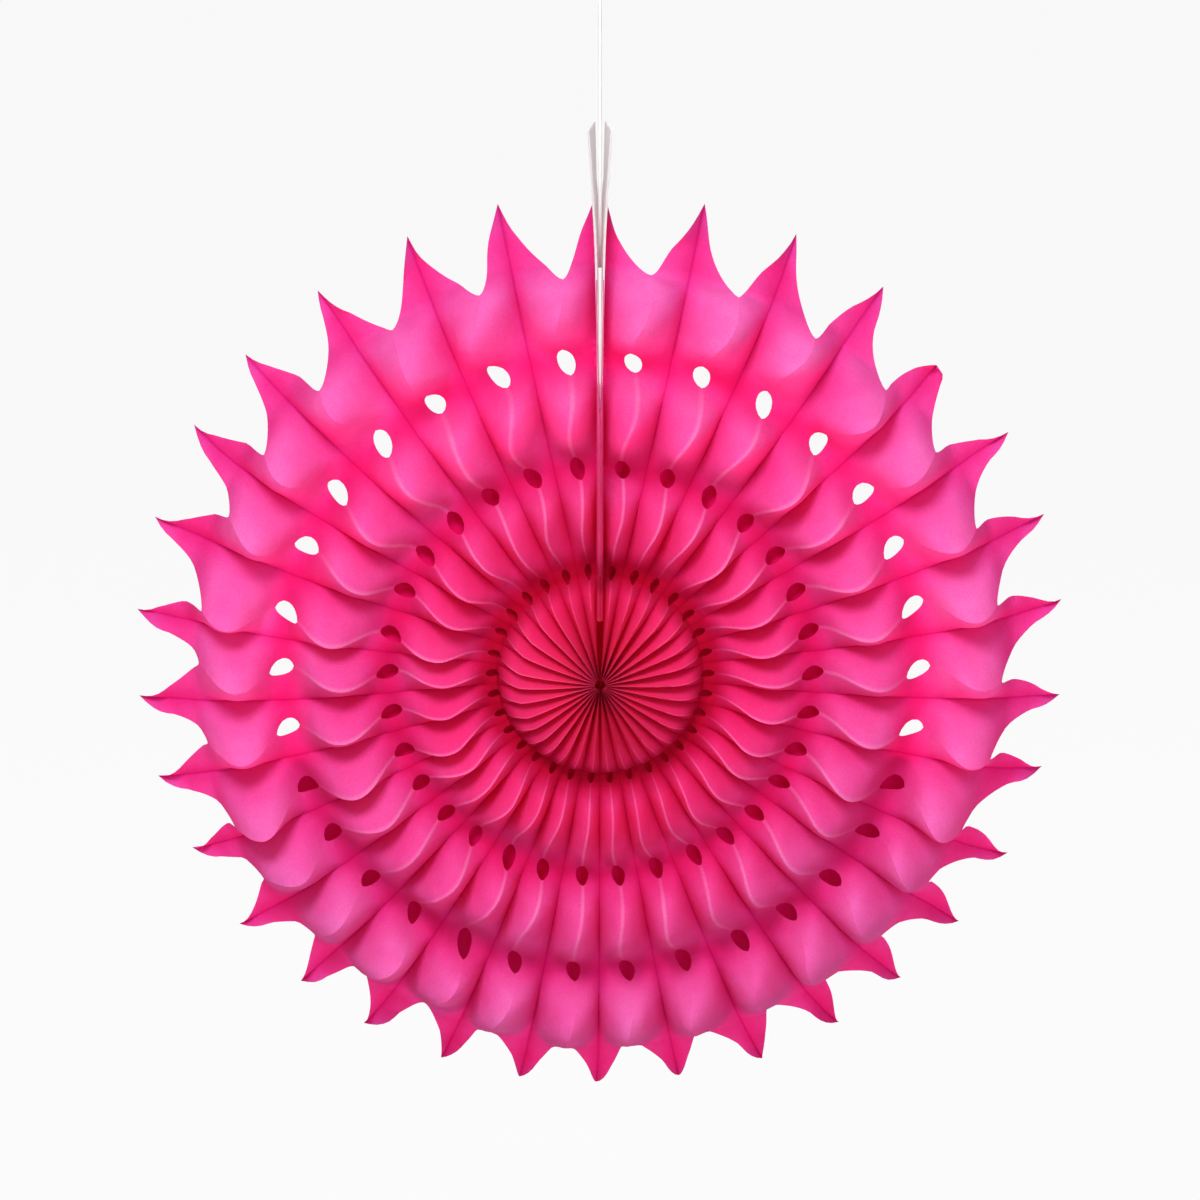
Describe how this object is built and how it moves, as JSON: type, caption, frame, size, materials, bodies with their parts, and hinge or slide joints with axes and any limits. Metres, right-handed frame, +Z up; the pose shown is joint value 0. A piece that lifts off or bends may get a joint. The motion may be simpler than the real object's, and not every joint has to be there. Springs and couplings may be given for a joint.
{
  "type": "paper fan rosette",
  "caption": "Hanging paper fan rosette of pleated magenta tissue with a thorned rim and die cut holes, closed by two white edge cards on a white thread.",
  "frame": {"origin": "the inside of the hanging loop at its top, where the hook bears", "axes": "+Z up along the thread, the fan hangs in the XZ plane, its face looks to -Y, +X to the right of someone who faces it"},
  "size_m": [0.3486, 0.0512, 0.4612],
  "materials": {
    "tissue": "matte magenta tissue, lets light through",
    "card": "matte white card",
    "adhesive": "matte off white double sided foam strip",
    "thread": "white twisted thread"
  },
  "bodies": {
    "root": {"pleated_tissue": "tissue", "back_tissue": "tissue", "end_card_left": "card", "end_card_right": "card", "adhesive_strip": "adhesive", "hanging_thread": "thread", "thread_loop": "thread"}
  },
  "joints": []
}
